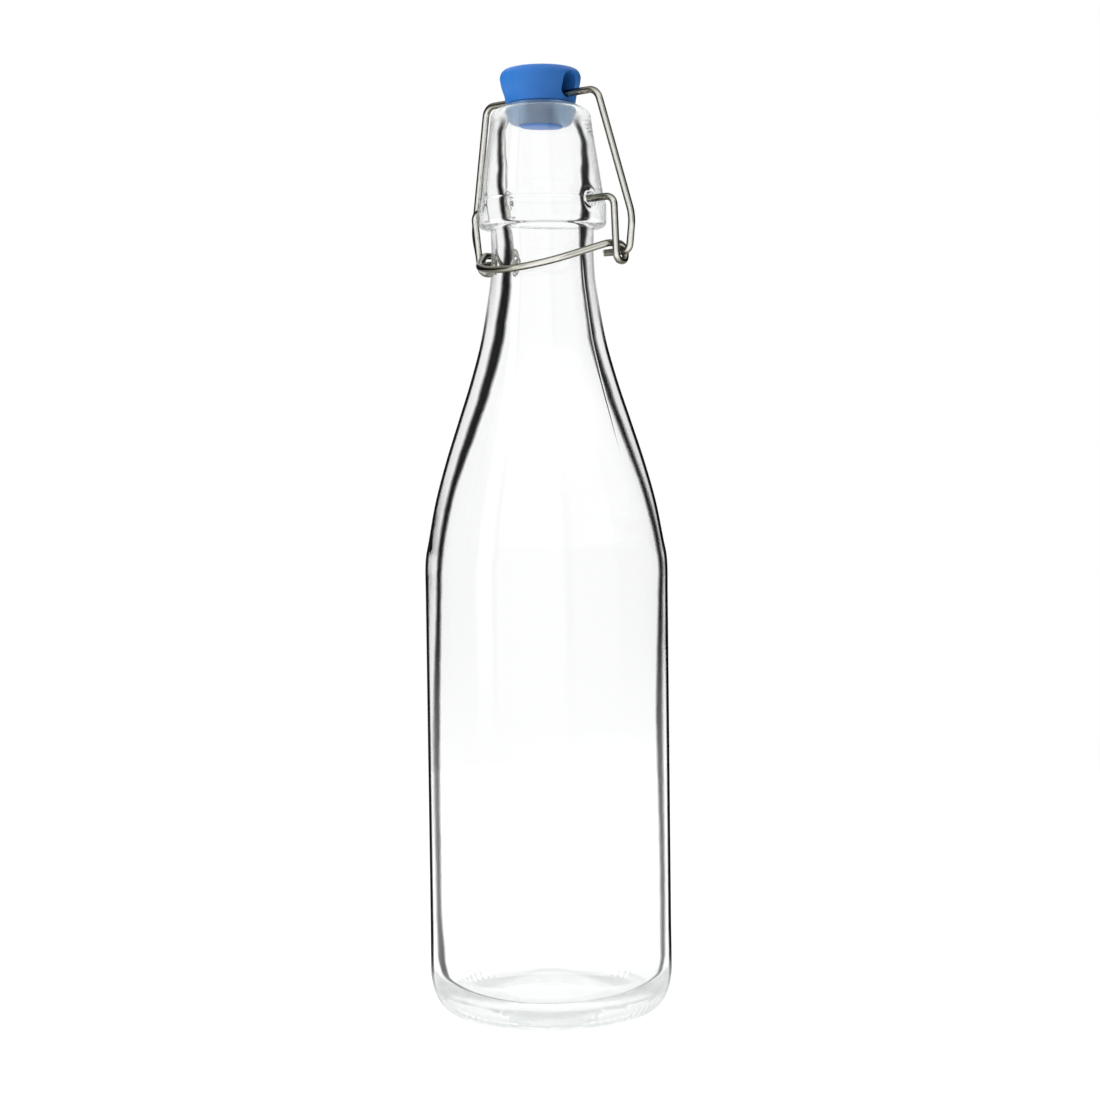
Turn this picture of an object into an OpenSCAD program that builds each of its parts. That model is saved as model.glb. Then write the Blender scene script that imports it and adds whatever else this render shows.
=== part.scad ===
// Half-litre swing top bottle: glass bottle, stopper, seal, bail wire and lever wire.
// Millimetres, +Z up. The origin is the centre of the base, on the plane the bottle stands on.
// The lever's pivot axis runs along X; the lever's thumb bar is in front, at -Y.

/* [Bottle] */
// Outside diameter of the body
body_d = 69; // [68:0.5:71]
// Thickness of the body wall
wall = 2.7; // [2.1:0.1:3.3]
// Height where the body ends and the shoulder starts
shoulder_z = 125.5; // [122:0.5:127]
// Width of the flat ring the bottle stands on, measured to its outer edge
bearing_d = 58.6; // [54:0.2:62]
// Height of the kick-up under the base
kick_h = 4.6; // [3:0.2:6]
// Thickness of the glass floor at its middle
floor_t = 4.8; // [3.6:0.1:6]

/* [Closure wires] */
// Diameter of both wires
wire_d = 2; // [1.6:0.1:2.1]
// Height of the lever's pivot dimples
pivot_z = 228; // [227.6:0.1:228.6]
// Depth of each pivot dimple below the collar's widest point
dimple_depth = 2.5; // [1.8:0.1:3]
// Radial play of the lever's ends in the dimples
pivot_play = 0.08; // [0.02:0.01:0.1]
// Half distance between the lever's legs at the pivot
lever_half = 26.2; // [26:0.1:26.4]
// Half width of the bail at its widest point
bail_half = 29.6; // [29.5:0.1:30.4]
// Half width of the bail at its top corners
bail_top_half = 20.6; // [19:0.2:21.6]
// Distance of the lever's eyes behind the pivot axis
eye_y = 4.4; // [4.2:0.1:4.7]
// Height of the lever's eyes
eye_z = 213.1; // [212.8:0.1:213.4]

/* [Stopper] */
// Diameter of the stopper's head at the top
head_d = 22.9; // [21.9:0.2:23.7]
// Diameter of the stopper's head at its underside
head_low_d = 19.8; // [18.6:0.2:20.6]
// Height of the stopper's top above the base
top_z = 265.8; // [265.4:0.1:266.8]
// Width of the wire tunnel
tunnel_w = 5.4; // [4.8:0.2:6]
// Diameter of the foot of the stopper's stem
foot_d = 12; // [10.4:0.2:12]

/* [Seal] */
// Diameter of the seal's skirt
seal_d = 24.1; // [23.3:0.2:24.7]

/* [Hidden] */
$fn = 96;
wr = wire_d / 2;
br = body_d / 2;

// Neck and finish, common to the outer and the inner wall
lip_z = 254.4;
head_low_z = 255.9;
bar_z = head_low_z + 1 + 0.05 + wr;   // height of the bail's crossbar

// ---------- small vector helpers ----------
function unit(v) = v / norm(v);
function cr(p0, p1, p2, p3, t) =
    0.5 * ((2 * p1) + (p2 - p0) * t + (2 * p0 - 5 * p1 + 4 * p2 - p3) * t * t
    + (3 * p1 - p0 - 3 * p2 + p3) * t * t * t);
// smooth curve through the points p, n steps for each span
function smooth(p, n) = [
    for (i = [0:len(p) - 2]) let (
        a = p[max(i - 1, 0)], b = p[i], c = p[i + 1], d = p[min(i + 2, len(p) - 1)])
        for (k = [0:n - 1]) cr(a, b, c, d, k / n),
    p[len(p) - 1]];
// quarter-ellipse corner from angle a0 to a1
function corner(c, rx, rz, a0, a1, n) =
    [for (k = [0:n]) let (a = a0 + (a1 - a0) * k / n) [c[0] + rx * cos(a), c[1] + rz * sin(a)]];

// ---------- glass profiles, as [radius, height] ----------
// shoulder, as a share of the body radius, then the neck
shoulder_out = [
    [br, shoulder_z], [br - 0.25, 128.8], [br - 1.0, 132.7], [br - 3.1, 143.7],
    [br - 6.2, 155.1], [br - 9.9, 166.6], [br - 13.6, 178.0], [br - 16.7, 189.4],
    [15.8, 200.7], [14.8, 207.9], [14.5, 214.8], [14.6, 219.0]];
collar_r = 18.25;
finish_out = concat(
    corner([15.45, 220.2], 0.87, 1.1, 180, 90, 4),
    corner([collar_r - 1.35, 222.9], 1.35, 1.55, -80, 0, 5),
    [[collar_r, 224.5], [collar_r, 227.5]],
    corner([collar_r - 1, 227.5], 1.0, 1.65, 8, 60, 4),
    [[17.1, 232.8], [16.4, 237.4], [15.45, 243.5], [14.7, 248.2], [14.35, 250.9]],
    corner([12.4, lip_z - 2.5], 1.85, 2.5, 0, 90, 6),
    [[11.85, lip_z]]);
shoulder_in = [
    [br - wall, shoulder_z - 1.2], [br - wall - 0.5, 130.8], [br - wall - 2.7, 142.7],
    [br - wall - 5.9, 154.1], [br - wall - 9.9, 165.5], [br - wall - 14.0, 177.0],
    [13.9, 188.7], [11.75, 199.8], [10.7, 210.1], [10.9, 218.4], [11.85, 224.0], [12.35, 229.7],
    [12.35, 236.9], [12.15, 243.1], [11.55, 248.2], [10.7, 251.9]];
inner_floor_z = kick_h + floor_t;

outer = concat(
    [for (k = [0:8]) let (a = k / 8) [a * 26, kick_h * cos(90 * a) * cos(90 * a)]],
    [[bearing_d / 2, 0]],
    corner([bearing_d / 2, 10.8], br - bearing_d / 2, 10.8, -76, 0, 9),
    smooth(shoulder_out, 4),
    finish_out);
inner = concat(
    smooth(shoulder_in, 4),
    corner([11.95, lip_z - 1.4], 1.33, 1.4, 178, 94, 5));
inner_low = concat(
    [for (k = [0:6]) let (a = k / 6) [a * 24.2, 5.4 + (inner_floor_z - 5.4) * (0.5 + 0.5 * cos(180 * a))]],
    corner([br - wall - 5.6, 11.9], 5.6, 6.5, -80, 0, 7));
// the whole wall as one closed outline: up the outside, down the inside
wall_outline = concat(
    outer,
    [for (i = [len(inner) - 1:-1:0]) inner[i]],
    [for (i = [len(inner_low) - 1:-1:0]) inner_low[i]]);

module glass_bottle() {
    color([0.86, 0.93, 0.90, 0.35])
    difference() {
        rotate_extrude($fn = 160) polygon(wall_outline);
        // the two blind dimples that carry the lever's ends
        for (s = [-1, 1])
            translate([s * (collar_r - dimple_depth), 0, pivot_z])
                rotate([0, s * 90, 0]) cylinder(r = wr + pivot_play, h = 6, $fn = 48);
    }
}

// ---------- bent wire ----------
// angle turned at the corner b of a-b-c
function turn(a, b, c) = acos(max(-1, min(1, unit(b - a) * unit(c - b))));
// length that a bend of radius r takes from each leg
function cut(a, b, c, r) = r * tan(turn(a, b, c) / 2);

module straight(a, b) {
    v = b - a;
    L = norm(v);
    z = v / L;
    h = abs(z[2]) < 0.9 ? [0, 0, 1] : [0, 1, 0];
    x = unit(cross(h, z));
    y = cross(z, x);
    multmatrix([
        [x[0], y[0], z[0], a[0]],
        [x[1], y[1], z[1], a[1]],
        [x[2], y[2], z[2], a[2]],
        [0, 0, 0, 1]])
        cylinder(r = wr, h = L, $fn = 32);
}
// a bend of radius r at b, from the leg a-b to the leg b-c;
// a bent wire swells a little, so each bend is a hair thicker and laps over its legs
lap = 0.06;
bulge = 0.03;
module bend(a, b, c, r) {
    d1 = unit(b - a);
    d2 = unit(c - b);
    t = turn(a, b, c);
    n = unit(cross(d1, d2));
    start = b - d1 * cut(a, b, c, r);
    side = cross(n, d1);
    cen = start + side * r;
    x = -side;
    y = d1;
    multmatrix([
        [x[0], y[0], n[0], cen[0]],
        [x[1], y[1], n[1], cen[1]],
        [x[2], y[2], n[2], cen[2]],
        [0, 0, 0, 1]])
        rotate([0, 0, -lap / r * 57.3])
            rotate_extrude(angle = t + 2 * lap / r * 57.3, $fn = max(64, round(r * 10)))
                translate([r, 0]) circle(r = wr + bulge, $fn = 32);
}
module wire(p, r) {
    n = len(p);
    for (i = [0:n - 2]) {
        a = i == 0 ? p[0] : p[i] + unit(p[i + 1] - p[i]) * cut(p[i - 1], p[i], p[i + 1], r[i]);
        b = i == n - 2 ? p[n - 1] : p[i + 1] - unit(p[i + 1] - p[i]) * cut(p[i], p[i + 1], p[i + 2], r[i + 1]);
        straight(a, b);
    }
    for (i = [1:n - 2]) bend(p[i - 1], p[i], p[i + 1], r[i]);
}

// ---------- lever ----------
// one side, from the pivot end through the eye to the start of the thumb bar
lever_side = [
    [collar_r - dimple_depth + 0.15, 0, pivot_z],
    [lever_half, 0, pivot_z],
    [lever_half - 0.7, eye_y - 2.6, eye_z - 2.6],
    [lever_half - 1.45, eye_y + 2.6, eye_z - 2.6],
    [lever_half - 2.2, eye_y + 2.6, eye_z + 2.6],
    [lever_half - 3.1, eye_y - 3.3, eye_z + 2.3]];
lever_r = [0, 2.4, 2.42, 2.42, 2.42, 3.3];
bar_apex = [0, -32.5, 202.5];
module lever_wire() {
    color([0.72, 0.71, 0.67])
    wire(concat(lever_side, [bar_apex],
            [for (i = [len(lever_side) - 1:-1:0]) [-lever_side[i][0], lever_side[i][1], lever_side[i][2]]]),
        concat(lever_r, [20.2], [for (i = [len(lever_r) - 1:-1:0]) lever_r[i]]));
}

// ---------- bail ----------
bail_side = [
    [19.2, eye_y, eye_z],
    [lever_half + 1.75, eye_y, eye_z],
    [bail_half, 3.8, 222.5],
    [bail_top_half, 0, bar_z]];
bail_r = [0, 2.1, 12.4, 3.5];
module bail_wire() {
    color([0.74, 0.73, 0.69])
    wire(concat(bail_side,
            [for (i = [len(bail_side) - 1:-1:0]) [-bail_side[i][0], bail_side[i][1], bail_side[i][2]]]),
        concat(bail_r, [for (i = [len(bail_r) - 1:-1:0]) bail_r[i]]));
}

// ---------- stopper ----------
hr = head_d / 2;
hl = head_low_d / 2;
foot_z = 248.6;
module stopper() {
    color([0.17, 0.45, 0.82])
    difference() {
        rotate_extrude($fn = 120) polygon(concat(
            [[0, foot_z]],
            [[foot_d / 2 - 1.6, foot_z + 0.1], [foot_d / 2 - 0.4, foot_z + 0.5], [foot_d / 2, foot_z + 1.1],
             [foot_d / 2, foot_z + 1.8], [4.3, foot_z + 1.8], [4.3, head_low_z]],
            [[hl - 0.5, head_low_z], [hl, head_low_z + 0.6]],
            corner([hr - 1.9, top_z - 2.6], 1.9, 2.4, 0, 84, 7),
            [[0, top_z]]));
        // tunnel for the crossbar, along X
        for (z = [bar_z - wr - 0.05 + tunnel_w / 2, bar_z - wr - 0.05 + tunnel_w / 2 + 1.6])
            translate([-20, 0, z]) rotate([0, 90, 0]) cylinder(d = tunnel_w, h = 40, $fn = 64);
        translate([-20, -tunnel_w / 2, bar_z - wr - 0.05 + tunnel_w / 2]) cube([40, tunnel_w, 1.6]);
    }
}

// ---------- seal ----------
sr = seal_d / 2;
module seal_gasket() {
    color([0.86, 0.89, 0.88, 0.8])
    rotate_extrude($fn = 120) polygon([
        [4.35, head_low_z - 0.05], [9.8, head_low_z - 0.05], [10.5, head_low_z - 0.36],
        [11.3, head_low_z - 0.87], [sr, head_low_z - 1.13], [sr, head_low_z - 1.35],
        [11.2, head_low_z - 1.4], [10.5, head_low_z - 1.55], [10.05, head_low_z - 2.15],
        [9.8, head_low_z - 3.1], [9.15, head_low_z - 4.3], [8.15, head_low_z - 5.45],
        [7.1, head_low_z - 6.2], [6.2, head_low_z - 6.2], [foot_d / 2 + 0.1, foot_z + 1.85],
        [4.35, foot_z + 1.85]]);
}

glass_bottle();
stopper();
seal_gasket();
bail_wire();
lever_wire();
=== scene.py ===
import math

import bmesh
import bpy
import numpy as np
from mathutils import Matrix, Vector


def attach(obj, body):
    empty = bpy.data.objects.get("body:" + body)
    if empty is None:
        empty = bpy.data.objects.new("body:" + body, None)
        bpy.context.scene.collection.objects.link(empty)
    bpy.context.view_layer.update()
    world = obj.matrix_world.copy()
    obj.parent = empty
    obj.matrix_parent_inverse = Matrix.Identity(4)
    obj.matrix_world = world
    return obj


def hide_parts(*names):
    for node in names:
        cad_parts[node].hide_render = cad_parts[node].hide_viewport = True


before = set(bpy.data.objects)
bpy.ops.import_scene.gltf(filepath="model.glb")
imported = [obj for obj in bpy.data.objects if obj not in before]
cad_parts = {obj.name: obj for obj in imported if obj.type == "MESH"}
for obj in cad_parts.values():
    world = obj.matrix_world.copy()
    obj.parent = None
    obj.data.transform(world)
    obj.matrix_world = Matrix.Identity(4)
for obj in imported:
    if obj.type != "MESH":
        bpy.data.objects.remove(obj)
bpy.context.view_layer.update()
MM = 0.001

# ------------------------------------------------------------------ helpers


def mono(xs, ys, x):
    """Monotone (PCHIP) interpolation, so a profile never wobbles between its points."""
    xs, ys, x = map(lambda a: np.asarray(a, float), (xs, ys, x))
    h = np.diff(xs)
    d = np.diff(ys) / h
    m = np.zeros_like(ys)
    for i in range(1, len(xs) - 1):
        if d[i - 1] * d[i] > 0:
            w1, w2 = 2 * h[i] + h[i - 1], h[i] + 2 * h[i - 1]
            m[i] = (w1 + w2) / (w1 / d[i - 1] + w2 / d[i])
    m[0], m[-1] = d[0], d[-1]
    k = np.clip(np.searchsorted(xs, x) - 1, 0, len(xs) - 2)
    t = (x - xs[k]) / h[k]
    return ((1 + 2 * t) * (1 - t) ** 2 * ys[k] + t * (1 - t) ** 2 * h[k] * m[k]
            + t * t * (3 - 2 * t) * ys[k + 1] + t * t * (t - 1) * h[k] * m[k + 1])


def smoothstep(a, b, x):
    t = np.clip((np.asarray(x, float) - a) / (b - a), 0, 1)
    return t * t * (3 - 2 * t)


def spline(pts, step, closed=False):
    """Points about step apart along a smooth curve through pts (centripetal Catmull-Rom)."""
    P = [np.array(p, float) for p in pts]
    P = [2 * P[0] - P[1]] + P + [2 * P[-1] - P[-2]]
    out = []
    for i in range(1, len(P) - 2):
        p0, p1, p2, p3 = P[i - 1:i + 3]
        t0 = 0.0
        t1 = t0 + max(np.linalg.norm(p1 - p0), 1e-6) ** 0.5
        t2 = t1 + max(np.linalg.norm(p2 - p1), 1e-6) ** 0.5
        t3 = t2 + max(np.linalg.norm(p3 - p2), 1e-6) ** 0.5
        n = max(1, int(math.ceil(np.linalg.norm(p2 - p1) / step)))
        for k in range(n):
            t = t1 + (t2 - t1) * k / n
            a1 = (t1 - t) / (t1 - t0) * p0 + (t - t0) / (t1 - t0) * p1
            a2 = (t2 - t) / (t2 - t1) * p1 + (t - t1) / (t2 - t1) * p2
            a3 = (t3 - t) / (t3 - t2) * p2 + (t - t2) / (t3 - t2) * p3
            b1 = (t2 - t) / (t2 - t0) * a1 + (t - t0) / (t2 - t0) * a2
            b2 = (t3 - t) / (t3 - t1) * a2 + (t - t1) / (t3 - t1) * a3
            out.append((t2 - t) / (t2 - t1) * b1 + (t - t1) / (t2 - t1) * b2)
    out.append(P[-2])
    return out


def arc(c, rx, rz, a0, a1, n):
    return [np.array([c[0] + rx * math.cos(math.radians(a0 + (a1 - a0) * k / n)),
                      c[1] + rz * math.sin(math.radians(a0 + (a1 - a0) * k / n))]) for k in range(n + 1)]


def new_object(name, verts, faces, smooth=True, mats=(), face_mat=None):
    me = bpy.data.meshes.new(name)
    me.from_pydata([tuple(v) for v in verts], [], faces)
    me.validate()
    if smooth:
        me.polygons.foreach_set("use_smooth", [True] * len(me.polygons))
    ob = bpy.data.objects.new(name, me)
    bpy.context.scene.collection.objects.link(ob)
    for m in mats:
        me.materials.append(m)
    if face_mat is not None:
        me.polygons.foreach_set("material_index", face_mat)
    me.update()
    return ob


# ------------------------------------------------------------------ node helpers
def material(name):
    m = bpy.data.materials.new(name)
    m.use_nodes = True
    nt = m.node_tree
    for n in list(nt.nodes):
        nt.nodes.remove(n)
    out = nt.nodes.new("ShaderNodeOutputMaterial")
    return m, nt, out


def add(nt, kind, **kw):
    n = nt.nodes.new(kind)
    for k, v in kw.items():
        setattr(n, k, v)
    return n


def ramp(nt, fac, stops, interp="LINEAR"):
    r = nt.nodes.new("ShaderNodeValToRGB")
    r.color_ramp.interpolation = interp
    e = r.color_ramp.elements
    while len(e) > 1:
        e.remove(e[0])
    first = True
    for pos, col in stops:
        c = col if len(col) == 4 else (*col, 1)
        if first:
            e[0].position, e[0].color = pos, c
            first = False
        else:
            q = e.new(pos)
            q.color = c
    nt.links.new(fac, r.inputs["Fac"])
    return r


def g(v):
    return (v, v, v)


def bump(nt, height, strength, distance, normal=None):
    b = nt.nodes.new("ShaderNodeBump")
    b.inputs["Strength"].default_value = strength
    b.inputs["Distance"].default_value = distance
    nt.links.new(height, b.inputs["Height"])
    if normal is not None:
        nt.links.new(normal, b.inputs["Normal"])
    return b


def noise(nt, vec, scale, detail=2.0, rough=0.5, distortion=0.0):
    n = nt.nodes.new("ShaderNodeTexNoise")
    n.inputs["Scale"].default_value = scale
    n.inputs["Detail"].default_value = detail
    n.inputs["Roughness"].default_value = rough
    n.inputs["Distortion"].default_value = distortion
    if vec is not None:
        nt.links.new(vec, n.inputs["Vector"])
    return n


def obj_coords(nt, scale=None):
    t = nt.nodes.new("ShaderNodeTexCoord")
    if scale is None:
        return t.outputs["Object"]
    m = nt.nodes.new("ShaderNodeMapping")
    m.inputs["Scale"].default_value = scale
    nt.links.new(t.outputs["Object"], m.inputs["Vector"])
    return m.outputs["Vector"]


# ------------------------------------------------------------------ materials
# how far the bore stands off the centre, in mm towards 41 degrees, at heights z: blown glass is never quite even
OFF_Z = [0, 58, 86, 115, 126, 149, 158, 172, 189, 203, 216, 224, 231, 243, 249]
OFF_V = [0, 0, 0.15, 0.6, 0.75, 0.55, 0.45, 0.5, 0.5, 0.75, 0.75, 0.65, 0.55, 0.3, 0]
OFF_A = math.radians(41)


def glass_material():
    m, nt, out = material("clear_glass")
    p = add(nt, "ShaderNodeBsdfPrincipled")
    p.inputs["Base Color"].default_value = (0.995, 0.998, 0.997, 1)
    p.inputs["Roughness"].default_value = 0.0
    p.inputs["IOR"].default_value = 1.5
    p.inputs["Transmission Weight"].default_value = 1.0
    co = obj_coords(nt)
    skin = add(nt, "ShaderNodeAttribute", attribute_name="inner_skin")

    def math_(op, *ins, clamp=False):
        n = add(nt, "ShaderNodeMath", operation=op, use_clamp=clamp)
        for k, v in enumerate(ins):
            if isinstance(v, (int, float)):
                n.inputs[k].default_value = v
            else:
                nt.links.new(v, n.inputs[k])
        return n.outputs[0]

    # faint waviness of moulded glass: long ripples down the wall and a finer skin
    n1 = noise(nt, obj_coords(nt, (1.0, 1.0, 0.45)), 55.0, 2.0, 0.45)
    n2 = noise(nt, co, 260.0, 2.0, 0.5)
    b = bump(nt, math_("MULTIPLY_ADD", n2.outputs["Fac"], 0.10, n1.outputs["Fac"]), 0.12, 0.0006)
    nt.links.new(b.outputs["Normal"], p.inputs["Normal"])
    # painted shade: a near-black diffuse is mixed into the glass where a skin is met near grazing, fine at the outer
    # edge and a wider band at the bore's edge
    sep = add(nt, "ShaderNodeSeparateXYZ")
    nt.links.new(co, sep.inputs[0])
    zmm = math_("MULTIPLY", sep.outputs["Z"], 1000.0)

    def zramp(zs, vs, scale=270.0, top=1.0):
        return math_("MULTIPLY", ramp(nt, math_("DIVIDE", zmm, scale), [(z / scale, g(v / top)) for z, v in zip(zs, vs)]).outputs["Color"], top)

    off = zramp(OFF_Z, OFF_V)
    onto = math_("MULTIPLY", off, skin.outputs["Fac"])
    xx = math_("SUBTRACT", math_("MULTIPLY", sep.outputs["X"], 1000.0), math_("MULTIPLY", onto, math.cos(OFF_A)))
    yy = math_("SUBTRACT", math_("MULTIPLY", sep.outputs["Y"], 1000.0), math_("MULTIPLY", onto, math.sin(OFF_A)))
    rr = math_("SQRT", math_("ADD", math_("MULTIPLY", xx, xx), math_("MULTIPLY", yy, yy)))
    # Layer Weight on the surface's own normal: the sine of the angle at which a skin is met, scaled to mm of its radius;
    # inside the wall it is taken times 1.5, so it reaches the radius at the angle where the bore turns mirror-like
    lw = add(nt, "ShaderNodeLayerWeight")
    lw.inputs["Blend"].default_value = 0.5
    cosv = math_("SUBTRACT", 1.0, lw.outputs["Facing"])
    sinv = math_("SQRT", math_("MAXIMUM", math_("SUBTRACT", 1.0, math_("MULTIPLY", cosv, cosv)), 0.0))
    bend = math_("MULTIPLY_ADD", skin.outputs["Fac"], 0.5, 1.0)
    graze = math_("MULTIPLY", math_("MULTIPLY", sinv, rr), bend)
    geo = add(nt, "ShaderNodeNewGeometry")

    def soft(value, start, end):
        """1 below start, 0 above end, eased between."""
        n = add(nt, "ShaderNodeMapRange", interpolation_type="SMOOTHSTEP")
        nt.links.new(value, n.inputs["Value"])
        for sock, v in (("From Min", start), ("From Max", end)):
            if isinstance(v, (int, float)):
                n.inputs[sock].default_value = v
            else:
                nt.links.new(v, n.inputs[sock])
        n.inputs["To Min"].default_value = 1.0
        n.inputs["To Max"].default_value = 0.0
        return n.outputs["Result"]

    painted_edge_line = soft(math_("SUBTRACT", rr, graze), 0.46, 0.95)
    painted_edge_line = math_("MULTIPLY", math_("MULTIPLY", painted_edge_line, math_("SUBTRACT", 1.0, geo.outputs["Backfacing"])), zramp([2, 7, 11, 16, 24, 186, 200, 216, 222, 250, 254],
                                         [0.05, 0.20, 0.55, 0.85, 0.97, 0.95, 0.22, 0.25, 0.14, 0.12, 0.0]))
    # painted shade: where the dark band sits, in mm, by height
    centre = zramp([5.5, 7, 9, 12, 16, 29, 58, 86, 115, 124, 128, 132, 136.5, 141, 145, 149, 153.5, 158, 172, 189, 203, 216, 224, 231, 243, 250],
                   [26.0, 28.0, 29.6, 30.9, 31.8, 32.0, 31.95, 31.95, 31.85, 31.8, 31.5, 30.9, 30.05, 29.05, 27.95, 26.8, 25.25, 23.7,
                    18.55, 13.4, 11.2, 10.4, 11.3, 12.0, 12.0, 11.2], top=50.0)
    wob = noise(nt, obj_coords(nt, (0.5, 0.5, 1.0)), 210.0, 2.0, 0.55)
    wamp = zramp([0, 150, 200, 222, 250], [0.15, 0.25, 0.35, 0.9, 0.7])
    centre = math_("ADD", centre, math_("MULTIPLY", math_("SUBTRACT", wob.outputs["Fac"], 0.5), wamp))
    side = math_("DIVIDE", math_("ADD", math_("MULTIPLY", xx, math.cos(OFF_A)), math_("MULTIPLY", yy, math.sin(OFF_A))), rr)
    # the wall is a little uneven round the bottle; the painted dark band's place, width and depth differ by side
    shift = math_("SUBTRACT", zramp([0, 14, 28, 126, 134, 145, 158, 172, 189, 203, 214, 250],
                                    [0.15, 0.18, 0.5, 0.5, 0.68, 0.80, 0.82, 0.80, 0.70, 0.62, 0.5, 0.5]), 0.5)
    centre = math_("SUBTRACT", centre, math_("MULTIPLY", side, shift))
    half = zramp([0, 16, 30, 58, 86, 115, 126, 149, 158, 189, 203, 216, 224, 231, 243],
                 [0.64, 0.64, 0.54, 0.56, 0.70, 0.55, 0.58, 0.68, 0.78, 1.00, 0.92, 0.80, 0.93, 0.98, 0.68], top=2.0)
    lean = math_("SUBTRACT", zramp([0, 16, 34, 120, 135, 149, 160, 200, 214, 222, 232, 243, 250],
                                   [0.25, 0.28, 0.5, 0.5, 0.47, 0.44, 0.28, 0.30, 0.42, 0.85, 0.88, 0.62, 0.5]), 0.5)
    half = math_("ADD", half, math_("MULTIPLY", side, lean))
    dist = math_("ABSOLUTE", math_("SUBTRACT", graze, centre))
    band = soft(dist, math_("SUBTRACT", half, 0.60), math_("ADD", half, 0.62))
    band = math_("MULTIPLY", band, zramp([5.5, 9, 12, 15, 24, 58, 72, 82, 126, 140, 150, 208, 217, 223, 228, 248, 252],
                                         [0.0, 0.60, 0.90, 0.96, 0.88, 0.88, 0.95, 0.97, 0.94, 0.93, 0.90, 0.90, 0.87, 0.92, 0.94, 0.80, 0.0]))
    band = math_("MULTIPLY", band, math_("SUBTRACT", 0.96, math_("MULTIPLY", side, 0.04)))
    band = math_("MULTIPLY", band, geo.outputs["Backfacing"])
    pick = add(nt, "ShaderNodeMix", data_type="FLOAT")
    nt.links.new(skin.outputs["Fac"], pick.inputs["Factor"])
    nt.links.new(painted_edge_line, pick.inputs["A"])
    nt.links.new(band, pick.inputs["B"])
    # painted shade: the near-black diffuse mixed in along the dark edge and band
    painted_shade_bsdf = add(nt, "ShaderNodeBsdfDiffuse")
    painted_shade_bsdf.inputs["Color"].default_value = (0.006, 0.0065, 0.006, 1)
    mix = add(nt, "ShaderNodeMixShader")
    light = math_("POWER", math_("SUBTRACT", 1.0, pick.outputs["Result"], clamp=True), 2.2)
    nt.links.new(math_("SUBTRACT", 1.0, light), mix.inputs[0])
    nt.links.new(p.outputs[0], mix.inputs[1])
    nt.links.new(painted_shade_bsdf.outputs[0], mix.inputs[2])
    # the clear wall lets the light on to the floor and the parts inside it
    clear = add(nt, "ShaderNodeBsdfTransparent")
    clear.inputs["Color"].default_value = (0.985, 0.99, 0.988, 1)
    lp = add(nt, "ShaderNodeLightPath")
    through = math_("MAXIMUM", lp.outputs["Is Shadow Ray"], lp.outputs["Is Diffuse Ray"])
    # painted light: the base and the neck's outer edge are made paler than the bend of the wall alone would make them,
    # by mixing in plain see-through glass
    pale = zramp([0, 3, 8, 13, 14, 192, 203, 254], [0.38, 0.38, 0.28, 0.0, 0.0, 0.0, 1.0, 1.0])
    edge = math_("MULTIPLY", soft(math_("SUBTRACT", rr, graze), 0.6, 2.4), math_("SUBTRACT", 1.0, skin.outputs["Fac"]))
    high = math_("GREATER_THAN", zmm, 150.0)
    ease = add(nt, "ShaderNodeMix", data_type="FLOAT")
    nt.links.new(high, ease.inputs["Factor"])
    nt.links.new(pale, ease.inputs["A"])
    nt.links.new(math_("MULTIPLY", math_("MULTIPLY", pale, edge), 0.55), ease.inputs["B"])
    through = math_("MAXIMUM", through, ease.outputs["Result"])
    mix2 = add(nt, "ShaderNodeMixShader")
    nt.links.new(through, mix2.inputs[0])
    nt.links.new(mix.outputs[0], mix2.inputs[1])
    nt.links.new(clear.outputs[0], mix2.inputs[2])
    nt.links.new(mix2.outputs[0], out.inputs["Surface"])
    va = add(nt, "ShaderNodeVolumeAbsorption")
    va.inputs["Color"].default_value = (0.70, 0.80, 0.76, 1)
    va.inputs["Density"].default_value = 3.0
    nt.links.new(va.outputs[0], out.inputs["Volume"])
    return m


def plastic_material():
    m, nt, out = material("stopper_plastic")
    p = add(nt, "ShaderNodeBsdfPrincipled")
    co = obj_coords(nt)
    big = noise(nt, co, 90.0, 3.0, 0.55)
    fine = noise(nt, co, 1500.0, 2.0, 0.5)
    col = ramp(nt, big.outputs["Fac"], [(0.3, (0.018, 0.130, 0.420)), (0.7, (0.025, 0.155, 0.480))])
    nt.links.new(col.outputs["Color"], p.inputs["Base Color"])
    rg = ramp(nt, fine.outputs["Fac"], [(0.35, g(0.36)), (0.65, g(0.46))])
    nt.links.new(rg.outputs["Color"], p.inputs["Roughness"])
    p.inputs["IOR"].default_value = 1.5
    p.inputs["Specular IOR Level"].default_value = 0.32
    p.inputs["Subsurface Weight"].default_value = 0.10
    p.inputs["Subsurface Radius"].default_value = (0.2, 0.5, 1.0)
    p.inputs["Subsurface Scale"].default_value = 0.0012
    b1 = bump(nt, fine.outputs["Fac"], 0.25, 0.00003)
    b2 = bump(nt, big.outputs["Fac"], 0.15, 0.0002, b1.outputs["Normal"])
    nt.links.new(b2.outputs["Normal"], p.inputs["Normal"])
    nt.links.new(p.outputs[0], out.inputs["Surface"])
    return m


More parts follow.
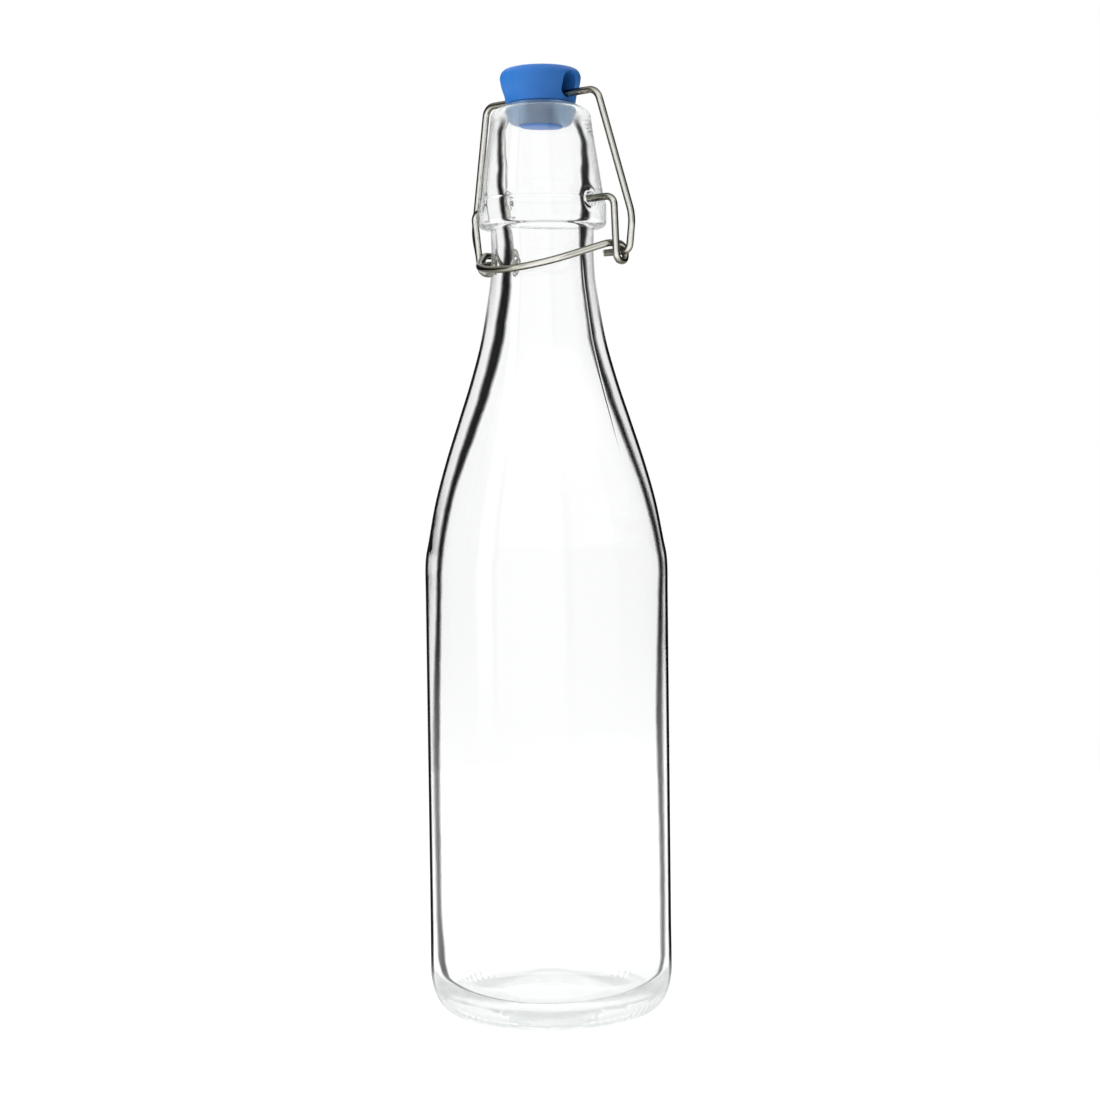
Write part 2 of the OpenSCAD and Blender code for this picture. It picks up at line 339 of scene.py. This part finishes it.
def silicone_material():
    m, nt, out = material("seal_silicone")
    p = add(nt, "ShaderNodeBsdfPrincipled")
    co = obj_coords(nt)
    n = noise(nt, co, 220.0, 3.0, 0.5)
    col = ramp(nt, n.outputs["Fac"], [(0.3, (0.30, 0.46, 0.65)), (0.7, (0.37, 0.53, 0.71))])
    nt.links.new(col.outputs["Color"], p.inputs["Base Color"])
    p.inputs["Roughness"].default_value = 0.32
    p.inputs["IOR"].default_value = 1.41
    p.inputs["Transmission Weight"].default_value = 0.8
    p.inputs["Subsurface Weight"].default_value = 0.3
    p.inputs["Subsurface Radius"].default_value = (1.0, 1.0, 1.0)
    p.inputs["Subsurface Scale"].default_value = 0.002
    b = bump(nt, n.outputs["Fac"], 0.2, 0.0001)
    nt.links.new(b.outputs["Normal"], p.inputs["Normal"])
    nt.links.new(p.outputs[0], out.inputs["Surface"])
    return m


def wire_material():
    m, nt, out = material("steel_wire")
    p = add(nt, "ShaderNodeBsdfPrincipled")
    p.inputs["Metallic"].default_value = 1.0
    co = obj_coords(nt)
    n = noise(nt, co, 420.0, 4.0, 0.6)
    spots = noise(nt, co, 2200.0, 2.0, 0.6)
    lw = add(nt, "ShaderNodeLayerWeight")
    lw.inputs["Blend"].default_value = 0.5
    tint = ramp(nt, n.outputs["Fac"], [(0.3, (0.78, 0.77, 0.725)), (0.7, (0.88, 0.87, 0.825))])
    # painted shade: the wire's colour darkens towards its outlines by a Layer Weight ramp, in place of reflected dark
    # surroundings
    edge = ramp(nt, lw.outputs["Facing"], [(0.0, g(1.0)), (0.06, g(0.90)), (0.17, (0.50, 0.49, 0.45)), (0.36, (0.17, 0.165, 0.13)), (0.70, (0.07, 0.068, 0.05)), (1.0, (0.12, 0.115, 0.09))])
    mul = add(nt, "ShaderNodeMix", data_type="RGBA", blend_type="MULTIPLY")
    mul.inputs["Factor"].default_value = 1.0
    nt.links.new(tint.outputs["Color"], mul.inputs["A"])
    nt.links.new(edge.outputs["Color"], mul.inputs["B"])
    nt.links.new(mul.outputs["Result"], p.inputs["Base Color"])
    rg = ramp(nt, spots.outputs["Fac"], [(0.35, g(0.13)), (0.7, g(0.26))])
    nt.links.new(rg.outputs["Color"], p.inputs["Roughness"])
    b = bump(nt, n.outputs["Fac"], 0.25, 0.00008)
    nt.links.new(b.outputs["Normal"], p.inputs["Normal"])
    nt.links.new(p.outputs[0], out.inputs["Surface"])
    return m


GLASS = glass_material()
BLUE = plastic_material()
SILICONE = silicone_material()
STEEL = wire_material()

# ------------------------------------------------------------------ glass bottle
BR, WALL, COLLAR, LIP, PIVOT_Z = 34.5, 2.7, 18.25, 254.4, 228.0


def body_scale(z):
    return 1.0


kick = [np.array([r, 4.6 * math.cos(math.pi / 2 * min(r / 26.0, 1)) ** 2]) for r in np.linspace(0, 26.0, 27)]
heel = arc((29.3, 10.8), BR - 29.3, 10.8, -90, 0, 22)
z_sh = [125.5, 128.8, 132.7, 143.7, 155.1, 166.6, 178.0, 189.4, 200.7, 207.9, 214.8, 219.0]
r_sh = [34.5, 34.25, 33.5, 31.4, 28.3, 24.6, 20.9, 17.8, 15.8, 14.8, 14.5, 14.6]
sh_pts = [np.array([r, z]) for r, z in zip(r_sh, z_sh)]
shoulder = spline([np.array([34.5, 118.0])] + sh_pts, 0.9)
fin = (arc((15.45, 220.2), 0.87, 1.1, 180, 90, 6)
       + arc((COLLAR - 1.35, 222.9), 1.35, 1.55, -80, 0, 8)
       + [np.array([COLLAR, z]) for z in np.arange(223.2, 227.4, 0.22)]
       + arc((COLLAR - 1, 227.5), 1.0, 1.65, 4, 58, 8))
finish_pts = [fin[-1], (17.1, 232.8), (16.4, 237.4), (15.45, 243.5), (14.7, 248.2), (14.35, 250.9)]
finish = spline(finish_pts, 0.28)
lip = arc((12.4, LIP - 2.5), 1.85, 2.5, 0, 90, 14)
body_wall = [np.array([BR, z]) for z in np.linspace(10.8, 118.0, 60)]
outer = kick + heel + body_wall[1:-1] + shoulder + fin[1:] + finish[1:] + lip[1:] + [np.array([11.95, LIP])]

ri = BR - WALL
in_pts = [(ri, 124.3), (ri - 0.5, 130.8), (ri - 2.7, 142.7), (ri - 5.9, 154.1), (ri - 9.9, 165.5), (ri - 14.0, 177.0),
          (13.9, 188.7), (11.75, 199.8), (10.7, 210.1), (10.9, 218.4), (11.85, 224.0), (12.35, 229.7),
          (12.35, 236.9), (12.15, 243.1), (11.55, 248.2), (10.75, 251.6), (10.62, 253.0)]
in_wall = spline([np.array([ri, 116.0])] + [np.array(p) for p in in_pts], 0.9)
in_lip = arc((11.95, LIP - 1.4), 1.33, 1.4, 178, 92, 8)
floor_z = 4.6 + 4.8
in_floor = [np.array([r, 5.4 + (floor_z - 5.4) * (0.5 + 0.5 * math.cos(math.pi * r / 24.2))]) for r in np.linspace(0, 24.2, 25)]
in_heel = arc((ri - 5.6, 11.9), 5.6, 6.5, -84, 0, 16)
in_body = [np.array([ri, z]) for z in np.linspace(11.9, 116.0, 60)]
inner = in_floor + in_heel + in_body[1:-1] + in_wall + in_lip[1:]


def angles():
    """Closer together near the two pivot dimples, at 0 and 180 degrees."""
    a = []
    x = 0.0
    while x < 360 - 1e-6:
        d = min(abs((x + 180) % 180), abs(180 - (x % 180)))
        a.append(x)
        x += 0.4 if d < 10 else 1.25
    return np.radians(np.array(a))


ANG = angles()


def displaced_outer(r, z, th):
    """Outer skin: a knurled heel, two dimples, and the mould's seam."""
    x, y = r * np.cos(th), r * np.sin(th)
    # seam, in the plane of the dimples
    d = np.abs(np.arctan2(np.sin(2 * th), np.cos(2 * th))) / 2 * r
    # the skin sits 0.05 mm in, so that the seam's crest is the full diameter
    seam = 0.05 * (np.exp(-(d / 0.28) ** 2) - 1) * smoothstep(14, 24, z) * (1 - smoothstep(205, 215, z))
    # knurl: short bars round the heel
    k = np.cos(th * 90)
    band = smoothstep(0.15, 0.9, z) * (1 - smoothstep(3.4, 4.6, z)) * smoothstep(28.5, 29.6, r)
    knurl = -0.16 * band * (0.5 - 0.5 * k) ** 2
    rr = r + seam + knurl
    x, y = rr * np.cos(th), rr * np.sin(th)
    # dimple: a soft-edged blind recess
    q = np.sqrt(y * y + (z - PIVOT_Z) ** 2)
    depth = 1 - smoothstep(1.25, 2.25, q)
    ridge = 0.28 * np.exp(-((q - 2.9) / 0.75) ** 2)
    near = (np.abs(x) > 9) & (q < 6)
    floor = COLLAR - 2.55
    tx = np.abs(x) * (1 - depth) + floor * depth
    tx = np.where(near, tx + ridge * (tx > floor + 0.1) * 0.6, np.abs(x))
    return np.sign(x) * tx, y, z + 0 * q


def displaced_inner(r, z, th):
    """Inner skin: blown glass is never quite even inside."""
    w = 0.10 * np.sin(2 * th + 0.035 * z) + 0.07 * np.sin(3 * th - 0.05 * z + 1.1)
    fin_w = smoothstep(214, 224, z) * (1 - smoothstep(246, 250, z))
    w = w + fin_w * (0.030 * np.sin(0.95 * z + 2.2 * np.sin(th)) + 0.05 * np.sin(0.33 * z + 2 * th))
    w = w * smoothstep(14, 40, z) * (1 - smoothstep(248, 252, z))
    rr = r + w * np.minimum(1, r / 6)
    off = float(mono(OFF_Z, OFF_V, [min(max(z, 0), 249)])[0])
    return rr * np.cos(th) + off * math.cos(OFF_A), rr * np.sin(th) + off * math.sin(OFF_A), z + 0 * th


def lathe(name, outer, inner):
    verts, faces, fmat = [], [], []
    n = len(ANG)

    def ringset(prof, disp):
        rings = []
        for r, z in prof:
            if r < 1e-6:
                verts.append(np.array([0, 0, z]) * MM)
                rings.append([len(verts) - 1])
            else:
                x, y, zz = disp(r, z, ANG)
                start = len(verts)
                verts.extend(np.stack([x, y, np.broadcast_to(zz, x.shape)], 1) * MM)
                rings.append(list(range(start, start + n)))
        return rings

    ro = ringset(outer, displaced_outer)
    rn = ringset(inner, displaced_inner)

    def skin(rings, flip, mat):
        for a, b in zip(rings[:-1], rings[1:]):
            for i in range(n):
                j = (i + 1) % n
                if len(a) == 1:
                    f = (a[0], b[i], b[j])
                    f = f[::-1]
                else:
                    f = (a[i], a[j], b[j], b[i])
                if flip:
                    f = f[::-1]
                faces.append(f)
                fmat.append(mat)

    skin(ro, False, 0)
    skin(rn, True, 1)
    a, b = ro[-1], rn[-1]
    for i in range(n):
        j = (i + 1) % n
        faces.append((a[i], a[j], b[j], b[i]))
        fmat.append(0)
    ob = new_object(name, verts, faces, True, (GLASS,))
    at = ob.data.attributes.new("inner_skin", "FLOAT", "FACE")
    at.data.foreach_set("value", np.array(fmat, np.float32))
    return ob


bottle = lathe("bottle_glass", outer, inner)
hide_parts("glass_bottle")
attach(bottle, "bottle")


# ------------------------------------------------------------------ wires
def fillet(pts, rad, step=0.25):
    out = [np.array(pts[0], float)]
    for i in range(1, len(pts) - 1):
        p0, p1, p2 = [np.array(q, float) for q in pts[i - 1:i + 2]]
        a = (p0 - p1) / np.linalg.norm(p0 - p1)
        b = (p2 - p1) / np.linalg.norm(p2 - p1)
        th = math.acos(max(-1, min(1, float(a @ b))))
        R = rad[i]
        d = R / math.tan(th / 2)
        s, e = p1 + a * d, p1 + b * d
        mdir = (a + b) / np.linalg.norm(a + b)
        cen = p1 + mdir * R / math.sin(th / 2)
        u, w = (s - cen) / R, (e - cen) / R
        ang = math.acos(max(-1, min(1, float(u @ w))))
        n = max(4, int(R * ang / step))
        for k in range(n + 1):
            t = k / n
            out.append(cen + R * (math.sin((1 - t) * ang) * u + math.sin(t * ang) * w) / math.sin(ang))
    out.append(np.array(pts[-1], float))
    return out


def resample(pts, step):
    P = np.array(pts)
    s = np.concatenate([[0], np.cumsum(np.linalg.norm(np.diff(P, axis=0), axis=1))])
    keep = np.concatenate([[True], np.diff(s) > 1e-6])
    P, s = P[keep], s[keep]
    n = int(s[-1] / step)
    t = np.linspace(0, s[-1], n + 1)
    return np.stack([np.interp(t, s, P[:, k]) for k in range(3)], 1)


def relax(P, it=2):
    Q = P.copy()
    for _ in range(it):
        Q[1:-1] = 0.5 * Q[1:-1] + 0.25 * (Q[:-2] + Q[2:])
    return Q


def tube(name, pts, r, sides=28, mats=()):
    P = relax(resample(pts, 0.3), 2)
    T = np.gradient(P, axis=0)
    T /= np.linalg.norm(T, axis=1)[:, None]
    N = np.zeros_like(P)
    n = np.cross(T[0], [0.3, 0.2, 0.9])
    n /= np.linalg.norm(n)
    for i in range(len(P)):
        n = n - T[i] * (n @ T[i])
        n /= np.linalg.norm(n)
        N[i] = n
    B = np.cross(T, N)
    verts, faces = [], []
    ca = np.linspace(0, 2 * math.pi, sides, endpoint=False)

    def ring(c, nn, bb, rad):
        s = len(verts)
        for a in ca:
            verts.append((c + rad * (math.cos(a) * nn + math.sin(a) * bb)) * MM)
        return list(range(s, s + sides))

    rings = []
    ch = 0.28  # the cut ends are slightly broken at the edge
    for k in range(4):
        a = math.pi / 2 * k / 4
        rings.append(ring(P[0] + T[0] * (ch * (1 - math.sin(a))), N[0], B[0], r - ch * (1 - math.cos(math.pi / 2 - a))))
    for i in range(2, len(P) - 2):
        rings.append(ring(P[i], N[i], B[i], r))
    for k in range(3, -1, -1):
        a = math.pi / 2 * k / 4
        rings.append(ring(P[-1] - T[-1] * (ch * (1 - math.sin(a))), N[-1], B[-1], r - ch * (1 - math.cos(math.pi / 2 - a))))
    rings = [rings[i] for i in range(len(rings))]
    # order the broken edge from the cut face outwards
    head = rings[:4]
    order = sorted(head, key=lambda q: np.linalg.norm(np.mean([verts[v] for v in q], axis=0) - P[0] * MM))
    tail = rings[-4:]
    order_t = sorted(tail, key=lambda q: -np.linalg.norm(np.mean([verts[v] for v in q], axis=0) - P[-1] * MM))
    rings = order + rings[4:-4] + order_t
    for a, b in zip(rings[:-1], rings[1:]):
        for i in range(sides):
            j = (i + 1) % sides
            faces.append((a[i], a[j], b[j], b[i]))
    c0 = len(verts)
    verts.append(P[0] * MM)
    for i in range(sides):
        faces.append((c0, rings[0][(i + 1) % sides], rings[0][i]))
    c1 = len(verts)
    verts.append(P[-1] * MM)
    for i in range(sides):
        faces.append((c1, rings[-1][i], rings[-1][(i + 1) % sides]))
    return new_object(name, verts, faces, True, mats)


EY, EZ, LH, BAR_Z, WR = 4.4, 213.1, 26.2, 257.95, 1.0
lever_side = [(COLLAR - 2.5 + 0.15, 0, PIVOT_Z), (LH, 0, PIVOT_Z), (LH - 0.7, EY - 2.6, EZ - 2.6), (LH - 1.45, EY + 2.6, EZ - 2.6),
              (LH - 2.2, EY + 2.6, EZ + 2.6), (LH - 3.1, EY - 3.3, EZ + 2.3)]
lever_r = [0, 2.4, 2.42, 2.42, 2.42, 3.3]
lever_pts = lever_side + [(0, -32.5, 202.5)] + [(-a, b, c) for a, b, c in lever_side[::-1]]
lever = tube("lever_wire_bent", fillet(lever_pts, lever_r + [20.2] + lever_r[::-1]), WR, mats=(STEEL,))
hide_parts("lever_wire")
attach(lever, "lever")

bail_side = [(19.2, EY, EZ), (LH + 1.75, EY, EZ), (29.6, 3.8, 222.5), (20.6, 0, BAR_Z)]
bail_r = [0, 2.1, 12.4, 3.5]
bail_pts = bail_side + [(-a, b, c) for a, b, c in bail_side[::-1]]
bail = tube("bail_wire_bent", fillet(bail_pts, bail_r + bail_r[::-1]), WR, mats=(STEEL,))
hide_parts("bail_wire")
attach(bail, "bail")


# ------------------------------------------------------------------ stopper and seal
def revolve(name, prof, mats, n=160, closed=False):
    verts, faces = [], []
    rings = []
    th = np.linspace(0, 2 * math.pi, n, endpoint=False)
    for r, z in prof:
        if r < 1e-6:
            verts.append((0, 0, z * MM))
            rings.append([len(verts) - 1])
        else:
            s = len(verts)
            for a in th:
                verts.append((r * math.cos(a) * MM, r * math.sin(a) * MM, z * MM))
            rings.append(list(range(s, s + n)))
    pairs = list(zip(rings[:-1], rings[1:]))
    if closed:
        pairs.append((rings[-1], rings[0]))
    for a, b in pairs:
        for i in range(n):
            j = (i + 1) % n
            if len(a) == 1 and len(b) == 1:
                continue
            if len(a) == 1:
                faces.append((b[j], b[i], a[0]))
            elif len(b) == 1:
                faces.append((a[i], a[j], b[0]))
            else:
                faces.append((a[i], a[j], b[j], b[i]))
    return new_object(name, verts, faces, True, mats)


HLZ, TOP, HR, HL, FZ, FR = 255.9, 265.8, 11.45, 9.9, 248.6, 6.0
head_side = spline([(HL, HLZ + 0.55), (HL + 0.28, 258.2), (HR - 0.35, 261.2), (HR, 263.2)], 0.35)
prof = ([np.array([0, FZ])] + [np.array([r, FZ + 0.32 * (r / (FR - 0.8)) ** 2]) for r in np.linspace(0.8, FR - 0.8, 6)]
        + arc((FR - 0.75, FZ + 1.07), 0.75, 0.72, -78, 90, 8)[0:]
        + [np.array([4.9, FZ + 1.8]), np.array([4.3, FZ + 1.85]), np.array([4.3, HLZ - 0.02])]
        + [np.array([r, HLZ]) for r in (5.2, 7.0, 8.8)]
        + arc((HL - 0.5, HLZ + 0.5), 0.5, 0.5, -88, -8, 5) + head_side
        + arc((HR - 1.9, TOP - 2.5), 1.9, 2.35, 6, 86, 14) + [np.array([r, TOP - 0.12 * (r / 9.4)]) for r in (8.2, 6.0, 3.0)]
        + [np.array([0, TOP])])
stopper = revolve("stopper_moulded", prof, (BLUE,), 192)

# tunnel for the crossbar: an upright oval, slightly flared at its mouths
TW = 2.7
tz0, tz1 = BAR_Z - WR - 0.05 + TW, BAR_Z - WR - 0.05 + TW + 1.6
ov = []
for k in range(33):
    a = math.pi * k / 32
    ov.append((TW * math.cos(a), tz1 + TW * math.sin(a)))
for k in range(33):
    a = math.pi + math.pi * k / 32
    ov.append((TW * math.cos(a), tz0 + TW * math.sin(a)))
cv, cf = [], []
cz = (tz0 + tz1) / 2
stations = [(-14, 1.16), (-11.6, 1.10), (-10.6, 1.0), (0, 0.985), (10.6, 1.0), (11.6, 1.10), (14, 1.16)]
for x, s in stations:
    for yy, zz in ov:
        low = zz < cz
        cv.append((x * MM, yy * s * MM, (cz + (zz - cz) * (1.0 if low else s)) * MM))
m_ = len(ov)
for q in range(len(stations) - 1):
    for i in range(m_):
        j = (i + 1) % m_
        cf.append((q * m_ + i, q * m_ + j, (q + 1) * m_ + j, (q + 1) * m_ + i))
cf.append(tuple(range(m_))[::-1])
cf.append(tuple(range((len(stations) - 1) * m_, len(stations) * m_)))
cutter = new_object("cutter", cv, cf, True, (BLUE,))
bm = bmesh.new()
bm.from_mesh(cutter.data)
bmesh.ops.recalc_face_normals(bm, faces=bm.faces)
bm.to_mesh(cutter.data)
bm.free()
md = stopper.modifiers.new("tunnel", "BOOLEAN")
md.operation, md.object, md.solver = "DIFFERENCE", cutter, "EXACT"
bv = stopper.modifiers.new("soft", "BEVEL")
bv.width, bv.segments, bv.limit_method, bv.angle_limit = 0.00035, 3, "ANGLE", math.radians(38)


def apply_modifiers(ob):
    dg = bpy.context.evaluated_depsgraph_get()
    dg.update()
    me = bpy.data.meshes.new_from_object(ob.evaluated_get(dg), depsgraph=dg)
    ob.modifiers.clear()
    old = ob.data
    ob.data = me
    bpy.data.meshes.remove(old)
    return ob


apply_modifiers(stopper)
bpy.data.objects.remove(cutter, do_unlink=True)
stopper.data.polygons.foreach_set("use_smooth", [True] * len(stopper.data.polygons))
stopper.data.set_sharp_from_angle(angle=math.radians(50))
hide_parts("stopper")
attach(stopper, "stopper")

SR = 12.05
seal_prof = spline([(4.36, HLZ - 0.06), (7.5, HLZ - 0.06), (9.75, HLZ - 0.07), (10.45, HLZ - 0.36), (11.25, HLZ - 0.85), (11.85, HLZ - 1.08)], 0.3)
seal_prof += arc((SR - 0.13, HLZ - 1.24), 0.13, 0.12, 80, -80, 5)
seal_prof += spline([(11.7, HLZ - 1.37), (11.2, HLZ - 1.41), (10.5, HLZ - 1.58), (10.08, HLZ - 2.15), (9.85, HLZ - 3.1), (9.2, HLZ - 4.3), (8.2, HLZ - 5.4), (7.3, HLZ - 6.05)], 0.3)
seal_prof += arc((7.0, HLZ - 5.95), 0.3, 0.22, -30, -90, 4) + [np.array([6.35, HLZ - 6.18]), np.array([6.12, HLZ - 6.1]), np.array([6.1, FZ + 1.95]), np.array([5.9, FZ + 1.87]), np.array([4.36, FZ + 1.87])]
seal = revolve("seal_moulded", [np.array(p) for p in seal_prof][::-1], (SILICONE,), 160, closed=True)
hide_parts("seal_gasket")
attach(seal, "stopper")

for ob in (bottle, lever, bail, stopper, seal):
    bm = bmesh.new()
    bm.from_mesh(ob.data)
    bmesh.ops.recalc_face_normals(bm, faces=bm.faces)
    bm.to_mesh(ob.data)
    bm.free()

# ------------------------------------------------------------------ floor, light, camera
fm, nt, out = material("floor_white")
d = add(nt, "ShaderNodeBsdfDiffuse")
d.inputs["Color"].default_value = (0.93, 0.93, 0.93, 1)
nt.links.new(d.outputs[0], out.inputs["Surface"])
fv, ff = [(0, 0, -0.00002)], []
for k in range(96):
    a = 2 * math.pi * k / 96
    fv.append((0.5 * math.cos(a), 0.5 * math.sin(a), -0.00002))
for k in range(96):
    ff.append((0, 1 + k, 1 + (k + 1) % 96))
floor = new_object("floor", fv, ff, False, (fm,))

world = bpy.data.worlds.new("studio")
bpy.context.scene.world = world
world.use_nodes = True
wt = world.node_tree
for n in list(wt.nodes):
    wt.nodes.remove(n)
wo = wt.nodes.new("ShaderNodeOutputWorld")
tc = wt.nodes.new("ShaderNodeTexCoord")
sep = wt.nodes.new("ShaderNodeSeparateXYZ")
wt.links.new(tc.outputs["Generated"], sep.inputs[0])
at = wt.nodes.new("ShaderNodeMath")
at.operation = "ARCTAN2"
wt.links.new(sep.outputs["Y"], at.inputs[0])
wt.links.new(sep.outputs["X"], at.inputs[1])
mr = wt.nodes.new("ShaderNodeMapRange")
mr.inputs["From Min"].default_value = -math.pi
mr.inputs["From Max"].default_value = math.pi
wt.links.new(at.outputs[0], mr.inputs["Value"])


def az(deg):
    """Position on the ramp of a direction, in degrees from +X towards +Y."""
    d = (deg + 180) % 360
    return d / 360


# what wires, plastic and gloss see: bright panels with dark gaps between them
K = 0.03
zones = [(-118, -100, 1.5), (-98, -32, 1.0), (-24, 20, 0.55), (118, 147, 0.9)]
pts = []
soft = 2.5
for lo, hi, v in zones:
    pts += [(az(lo - soft), g(K)), (az(lo + soft), g(v)), (az(hi - soft), g(v)), (az(hi + soft) if hi < 179 else 1.0, g(K))]
pts.sort(key=lambda t: t[0])
belt = ramp(wt, mr.outputs["Result"], pts, "EASE")
# overhead softbox
top = ramp(wt, sep.outputs["Z"], [(0.0, g(0)), (0.42, g(0)), (0.62, g(1)), (1.0, g(1))], "EASE")


def mix_colour(fac, a, b):
    n = wt.nodes.new("ShaderNodeMix")
    n.data_type = "RGBA"
    wt.links.new(fac, n.inputs["Factor"])
    for sock, v in (("A", a), ("B", b)):
        if isinstance(v, tuple):
            n.inputs[sock].default_value = v
        else:
            wt.links.new(v, n.inputs[sock])
    return n.outputs["Result"]


room = mix_colour(top.outputs["Color"], belt.outputs["Color"], (1.25, 1.25, 1.25, 1))
low = wt.nodes.new("ShaderNodeMapRange")
low.interpolation_type = "SMOOTHSTEP"
low.inputs["From Min"].default_value, low.inputs["From Max"].default_value = -0.06, -0.15
wt.links.new(sep.outputs["Z"], low.inputs["Value"])
room = mix_colour(low.outputs["Result"], room, (1.0, 1.0, 1.0, 1))
# through the glass: an even pale studio, a little greyer to the sides
far = ramp(wt, mr.outputs["Result"], [(az(-179.9), g(1.0)), (az(-100), g(0.93)), (az(-45), g(0.99)), (az(0), g(0.93)), (az(60), g(0.96)),
                                      (az(85), g(1.0)), (az(150), g(1.0)), (1.0, g(1.0))], "EASE")
lp = wt.nodes.new("ShaderNodeLightPath")
deep = wt.nodes.new("ShaderNodeMath")
deep.operation = "GREATER_THAN"
wt.links.new(lp.outputs["Transmission Depth"], deep.inputs[0])
deep.inputs[1].default_value = 0.5
inside = wt.nodes.new("ShaderNodeMath")
inside.operation = "MULTIPLY_ADD"
inside.use_clamp = True
wt.links.new(deep.outputs[0], inside.inputs[0])
wt.links.new(lp.outputs["Is Glossy Ray"], inside.inputs[1])
wt.links.new(lp.outputs["Is Transmission Ray"], inside.inputs[2])
seen = mix_colour(inside.outputs[0], room, far.outputs["Color"])
seen = mix_colour(lp.outputs["Is Camera Ray"], seen, (1.0, 1.0, 1.0, 1))
bg = wt.nodes.new("ShaderNodeBackground")
wt.links.new(seen, bg.inputs["Color"])
bg.inputs["Strength"].default_value = 1.0
wt.links.new(bg.outputs[0], wo.inputs["Surface"])

# a soft key from the left
kl = bpy.data.lights.new("key", "AREA")
kl.shape, kl.size, kl.size_y, kl.energy = "RECTANGLE", 0.8, 0.9, 11.0
key = bpy.data.objects.new("key", kl)
bpy.context.scene.collection.objects.link(key)
ka = math.radians(-125)
key.location = (1.15 * math.cos(ka), 1.15 * math.sin(ka), 0.55)
key.rotation_euler = (Vector((0, 0, 0.2)) - Vector(key.location)).to_track_quat("-Z", "Y").to_euler()
key.visible_camera = False
key.visible_glossy = False
key.visible_transmission = False

AZ = math.radians(41.0)
D, H, YAW, PITCH, ROLL = 0.5762, 0.152, math.radians(0.107), math.radians(2.18), math.radians(-0.721)
rx = Vector((math.cos(AZ), math.sin(AZ), 0))
bk = Vector((math.sin(AZ), -math.cos(AZ), 0))
f = (-bk * math.cos(PITCH) * math.cos(YAW) + rx * math.sin(YAW) * math.cos(PITCH) + Vector((0, 0, -math.sin(PITCH)))).normalized()
r = f.cross(Vector((0, 0, 1))).normalized()
u = r.cross(f)
r2 = math.cos(ROLL) * r + math.sin(ROLL) * u
u2 = -math.sin(ROLL) * r + math.cos(ROLL) * u
pos = bk * D + Vector((0, 0, H))
cd = bpy.data.cameras.new("camera")
cam = bpy.data.objects.new("camera", cd)
bpy.context.scene.collection.objects.link(cam)
cd.sensor_width = 36.0
cd.lens = 2023.0 / 1100.0 * 36.0
cd.clip_start, cd.clip_end = 0.01, 50
cam.matrix_world = Matrix(((r2.x, u2.x, -f.x, pos.x), (r2.y, u2.y, -f.y, pos.y), (r2.z, u2.z, -f.z, pos.z), (0, 0, 0, 1)))
bpy.context.scene.camera = cam

sc = bpy.context.scene
sc.view_settings.view_transform = "Standard"
sc.view_settings.look = "None"
sc.cycles.max_bounces = 24
sc.cycles.transmission_bounces = 20
sc.cycles.glossy_bounces = 10
sc.cycles.transparent_max_bounces = 16
sc.cycles.use_denoising = True
